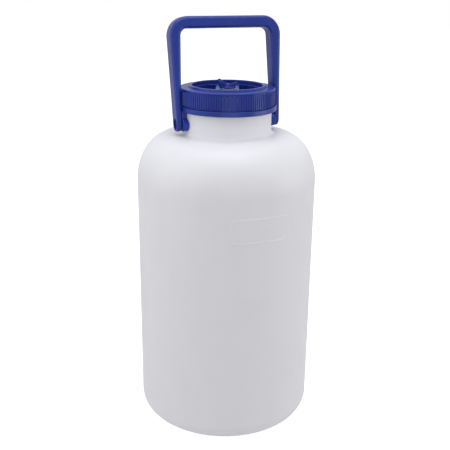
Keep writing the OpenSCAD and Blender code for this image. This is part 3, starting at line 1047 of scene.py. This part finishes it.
    def web_cutter(self) -> bpy.types.Object:
        """The hollow under the web, which leaves the vent's boss standing."""
        wide = self.web_width / 2 - self.web_wall
        long = self.recess_radius * self.hollow_share
        edge = self.hollow_corner
        plan = rounded([(wide, long, edge), (-wide, long, edge), (-wide, -long, edge),
                        (wide, -long, edge)], closed=True)
        heights = (self.cup_bottom - self.overrun, self.web - self.top_thickness)
        cutter = lofted_solid("web_cutter", [[(x, y, z) for x, y in plan] for z in heights])
        low = self.cup_bottom - 2 * self.overrun
        boss = [(0, low), (self.boss_radius, low), (self.boss_radius, self.web), (0, self.web)]
        combine(cutter, turned_solid("boss", boss, 64), Combine.CUT)
        return cutter

    def disc(self) -> bpy.types.Object:
        """The recess's floor: a disc with the two pockets, the web and the vent's bore."""
        out = self.recess_radius + BURIED
        low = self.cup_bottom + 0.0002
        plate = [(0, low), (out, low), (out, self.web), (0, self.web)]
        disc = turned_solid("cap_disc", plate, 160)
        for side in (1, -1):
            combine(disc, self.pocket_cutter(side), Combine.CUT)
        combine(disc, self.web_cutter(), Combine.CUT)
        wide, past = self.bore_radius + self.bore_chamfer, self.web + self.overrun
        bore = [(0, low - self.overrun), (self.bore_radius, low - self.overrun),
                (self.bore_radius, self.web - self.bore_chamfer), (wide, self.web), (wide, past),
                (0, past)]
        combine(disc, turned_solid("bore_cutter", bore, 96), Combine.CUT)
        return disc

    def build(self, finishes: Finishes) -> bpy.types.Object:
        """Builds and dresses the cap."""
        outline = self.shell_outline()
        sketch = Sketch()
        sketch.turned(outline, self.rib_angles(), ring=True, bulge=self.rib_bulge(outline))
        low = self.skirt + self.hem + CAP_THREAD.foot / 2
        sketch.lofted(CAP_THREAD.rings(self.skirt_in, low, side=-1))
        vent_low = self.cup_bottom + self.vent_thread_rise
        sketch.lofted(VENT_THREAD.rings(self.bore_radius, vent_low, side=-1))
        disc = self.disc()
        sketch.copy(disc, Matrix.Rotation(CAP_HEADING, 4, "Z"))
        bpy.data.objects.remove(disc)
        cap = sketch.to_object("cap")
        shade(cap)
        return dress(cap, "screw_cap", "cap", finishes.blue)


# ---- Vent plug ----

@dataclass
class VentPlug:
    """The winged plug in the cap's middle: threaded stem, flange, hub and two curved wings."""

    stem_radius: float = 0.005
    flange_radius: float = 0.0092
    flange_thickness: float = 0.0016
    hub_foot: float = 0.0043
    hub_top: float = 0.0030
    hub_height: float = 0.0030
    wing_reach: float = 0.013
    wing_curve: float = 0.015
    wing_thickness: float = 0.0024
    thumb_height: float = 0.009
    finger_height: float = 0.0045
    thread_rise: float = 0.0015

    def __post_init__(self) -> None:
        """Takes the stem's end and the flange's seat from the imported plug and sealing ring."""
        self.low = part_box("vent_plug")[0].z
        self.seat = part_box("vent_seal")[1].z
        self.deck = self.seat + self.flange_thickness

    def body(self) -> Outline:
        """The turned outline of the stem, flange and hub."""
        return rounded([(0, self.low, 0), (self.stem_radius, self.low, 0.0008),
                        (self.stem_radius, self.seat, 0), (self.flange_radius, self.seat, 0.0003),
                        (self.flange_radius, self.deck, 0.0006), (self.hub_foot, self.deck, 0.0008),
                        (self.hub_top, self.deck + self.hub_height, 0.0010),
                        (0, self.deck + self.hub_height, 0)], closed=False)

    def wing(self, height: float, side: int) -> tuple[np.ndarray, list[tuple[int, ...]]]:
        """One wing: a curved plate that swells from the hub and rises towards its tip.

        Args:
            height: The wing's height above the flange.
            side: 1 for the +X wing, -1 for the -X one.

        Returns:
            The wing's points and faces.
        """
        along, up = 28, 18
        rows, columns = np.meshgrid(np.linspace(-1, 1, up + 1), np.linspace(-1, 1, along + 1),
                                    indexing="ij")
        u, v = (columns + 1) / 2, (rows + 1) / 2
        tip = self.wing_reach * (1 - 0.30 * (1 - v) ** 2)
        reach = u * tip
        share = reach / self.wing_reach
        crown = height * (0.42 + 0.58 * fade(share * 1.25))
        crown = crown - height * 0.16 * np.clip((share - 0.78) / 0.22, 0, 1) ** 2
        z = self.deck - BURIED + v * (crown + BURIED)
        rim = (1 - np.abs(columns) ** 6) * (1 - np.clip(rows, 0, 1) ** 6)
        thick = self.wing_thickness / 2 * np.sqrt(np.maximum(rim, 0))
        thick = thick * (1 - 0.25 * v)
        points, faces = [], []
        for face in (1, -1):
            out = self.wing_curve - face * thick
            bend = reach / self.wing_curve
            x, y = out * np.sin(bend), self.wing_curve - out * np.cos(bend)
            points.append(np.stack([side * x, side * y, z], axis=2).reshape(-1, 3))
            first = (0 if face == 1 else 1) * (along + 1) * (up + 1)
            faces += [(first + i * (along + 1) + k, first + i * (along + 1) + k + 1,
                       first + (i + 1) * (along + 1) + k + 1, first + (i + 1) * (along + 1) + k)
                      for i in range(up) for k in range(along)]
        second = (along + 1) * (up + 1)
        faces += [(k, k + 1, second + k + 1, second + k) for k in range(along)]
        return np.vstack(points), faces

    def build(self, finishes: Finishes) -> bpy.types.Object:
        """Builds and dresses the plug."""
        sketch = Sketch()
        sketch.turned(self.body(), even(96), ring=False)
        sketch.lofted(VENT_THREAD.rings(self.stem_radius, self.low + self.thread_rise))
        turned = Matrix.Rotation(CAP_HEADING, 4, "Z")
        sketch.add(*self.wing(self.thumb_height, -1), turned)
        sketch.add(*self.wing(self.finger_height, 1), turned)
        plug = sketch.to_object("vent_plug_winged")
        weld(plug)
        shade(plug)
        return dress(plug, "vent_plug", "vent", finishes.blue)


def weld(piece: bpy.types.Object) -> None:
    """Joins a piece's vertices that lie on each other, and faces its normals outwards."""
    shape = bmesh.new()
    shape.from_mesh(piece.data)
    bmesh.ops.remove_doubles(shape, verts=shape.verts, dist=WELD)
    bmesh.ops.dissolve_degenerate(shape, edges=shape.edges, dist=WELD / 10)
    bmesh.ops.recalc_face_normals(shape, faces=shape.faces)
    shape.to_mesh(piece.data)
    shape.free()


# ---- Seals ----

@dataclass
class Seal:
    """A flat sealing ring with softly rounded edges."""

    name: str
    node: str
    body: str
    inner: float
    edge: float

    def build(self, finishes: Finishes) -> bpy.types.Object:
        """Builds and dresses the seal."""
        low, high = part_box(self.node)
        section = rounded([(self.inner, low.z, self.edge), (high.x, low.z, self.edge),
                           (high.x, high.z, self.edge), (self.inner, high.z, self.edge)],
                          closed=True)
        seal = turned_solid(self.name, section, 144, ring=True)
        shade(seal)
        return dress(seal, self.node, self.body, finishes.seal)


# ---- Studio ----

@dataclass(frozen=True)
class Lamp:
    """A soft rectangular light that faces the jug's middle."""

    name: str
    azimuth: float
    elevation: float
    distance: float
    width: float
    height: float
    watts: float
    colour: tuple[float, float, float]


@dataclass
class Studio:
    """A plain pale floor, a plain backdrop, soft lights and the camera."""

    azimuth: float = math.radians(-22)
    camera_distance: float = 0.8485
    camera_height: float = 0.5235
    pitch: float = math.radians(18.72)
    yaw: float = math.radians(-0.062)
    roll: float = math.radians(0.649)
    lens: float = 59.47
    floor_radius: float = 7.0
    floor_gap: float = 0.0002
    dome_radius: float = 8.4
    lamps: tuple[Lamp, ...] = (
        Lamp("key_left", -68, 22, 1.8, 1.6, 1.8, 8, (0.95, 0.98, 1.0)),
        Lamp("overhead", 10, 82, 1.5, 1.5, 1.2, 13, (0.93, 0.97, 1.0)),
        Lamp("fill_right", 84, -4, 2.2, 1.4, 1.6, 15, (0.97, 0.985, 1.0)),
        Lamp("front_low", 8, -18, 2.4, 1.8, 1.2, 14, (0.98, 0.98, 1.0)),
    )
    sky: tuple[float, float, float] = (0.70, 0.695, 0.73)

    def turned(self) -> Matrix:
        """The turn about Z from the camera's own heading to the model's frame."""
        return Matrix.Rotation(self.azimuth, 4, "Z")

    def camera(self) -> None:
        """Makes the camera."""
        lens = bpy.data.cameras.new("camera")
        lens.lens = self.lens
        lens.sensor_width = 36.0
        made = link("camera", lens)
        ahead = Vector((math.sin(self.yaw) * math.cos(self.pitch),
                        math.cos(self.yaw) * math.cos(self.pitch), -math.sin(self.pitch)))
        right = Vector((math.cos(self.yaw), -math.sin(self.yaw), 0))
        up = right.cross(ahead)
        across = right * math.cos(self.roll) + up * math.sin(self.roll)
        upward = up * math.cos(self.roll) - right * math.sin(self.roll)
        turn = Matrix((across, upward, -ahead)).transposed().to_4x4()
        place = Matrix.Translation((0, -self.camera_distance, self.camera_height))
        made.matrix_world = self.turned() @ place @ turn
        bpy.context.scene.camera = made

    def light(self, lamp: Lamp, aim: Vector) -> None:
        """Makes one soft light, whose azimuth counts to the right from the camera."""
        data = bpy.data.lights.new(lamp.name, "AREA")
        data.shape = "RECTANGLE"
        data.size, data.size_y = lamp.width, lamp.height
        data.energy = lamp.watts
        data.color = lamp.colour
        made = link(lamp.name, data)
        side, rise = math.radians(lamp.azimuth), math.radians(lamp.elevation)
        away = Vector((math.sin(side) * math.cos(rise), -math.cos(side) * math.cos(rise),
                       math.sin(rise)))
        away = self.turned() @ away
        made.location = aim + away * lamp.distance
        made.rotation_mode = "QUATERNION"
        made.rotation_quaternion = (-away).to_track_quat("-Z", "Y")

    def plain(self, name: str, colour: tuple[float, float, float],
              glow: float) -> bpy.types.Material:
        """A plain material for the floor or the backdrop."""
        made = bpy.data.materials.new(name)
        made.use_nodes = True
        shader = made.node_tree.nodes["Principled BSDF"]
        shader.inputs["Base Color"].default_value = (*colour, 1)
        shader.inputs["Roughness"].default_value = 0.9
        shader.inputs["Specular IOR Level"].default_value = 0.0
        shader.inputs["Emission Color"].default_value = (1, 1, 1, 1)
        shader.inputs["Emission Strength"].default_value = glow
        return made

    def stage(self) -> None:
        """Makes the floor and the backdrop, which only the camera sees."""
        shape = bmesh.new()
        bmesh.ops.create_circle(shape, cap_ends=True, segments=96, radius=self.floor_radius)
        floor = self.stage_object("floor", shape, self.plain("floor", (0.80, 0.80, 0.80), 0.62))
        floor.location.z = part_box("bottle_body")[0].z - self.floor_gap
        dome = bmesh.new()
        bmesh.ops.create_uvsphere(dome, u_segments=48, v_segments=24, radius=self.dome_radius)
        backdrop = self.stage_object("backdrop", dome, self.plain("backdrop", (0, 0, 0), 1.0))
        backdrop.visible_shadow = False
        backdrop.visible_transmission = False
        backdrop.visible_volume_scatter = False
        for shown in (floor, backdrop):
            shown.visible_diffuse = False
            shown.visible_glossy = False

    def stage_object(self, name: str, shape: bmesh.types.BMesh,
                     material: bpy.types.Material) -> bpy.types.Object:
        """Makes one object of the stage from its shape and material."""
        mesh = bpy.data.meshes.new(name)
        shape.to_mesh(mesh)
        shape.free()
        mesh.materials.append(material)
        return link(name, mesh)

    def build(self) -> None:
        """Sets up the whole studio."""
        low, high = CAD_BOX
        self.camera()
        self.stage()
        for lamp in self.lamps:
            self.light(lamp, (low + high) / 2)
        world = bpy.data.worlds.new("studio")
        world.use_nodes = True
        world.node_tree.nodes["Background"].inputs["Color"].default_value = (*self.sky, 1)
        bpy.context.scene.world = world
        bpy.context.scene.view_settings.view_transform = "Standard"


# ---- The whole jug ----


def main() -> None:
    """Builds every piece in order, then the studio."""
    logging.basicConfig(level=logging.INFO, format="%(message)s")
    finishes = Finishes.make()
    parts = [Bottle(), Collar(), Handle(), Cap(),
             Seal("gasket", "cap_gasket", "gasket", inner=0.0427, edge=0.0003), VentPlug(),
             Seal("vent_ring", "vent_seal", "vent_ring", inner=0.0053, edge=0.0002)]
    for part in parts:
        part.build(finishes)
    Studio().build()


if __name__ == "__main__":
    main()
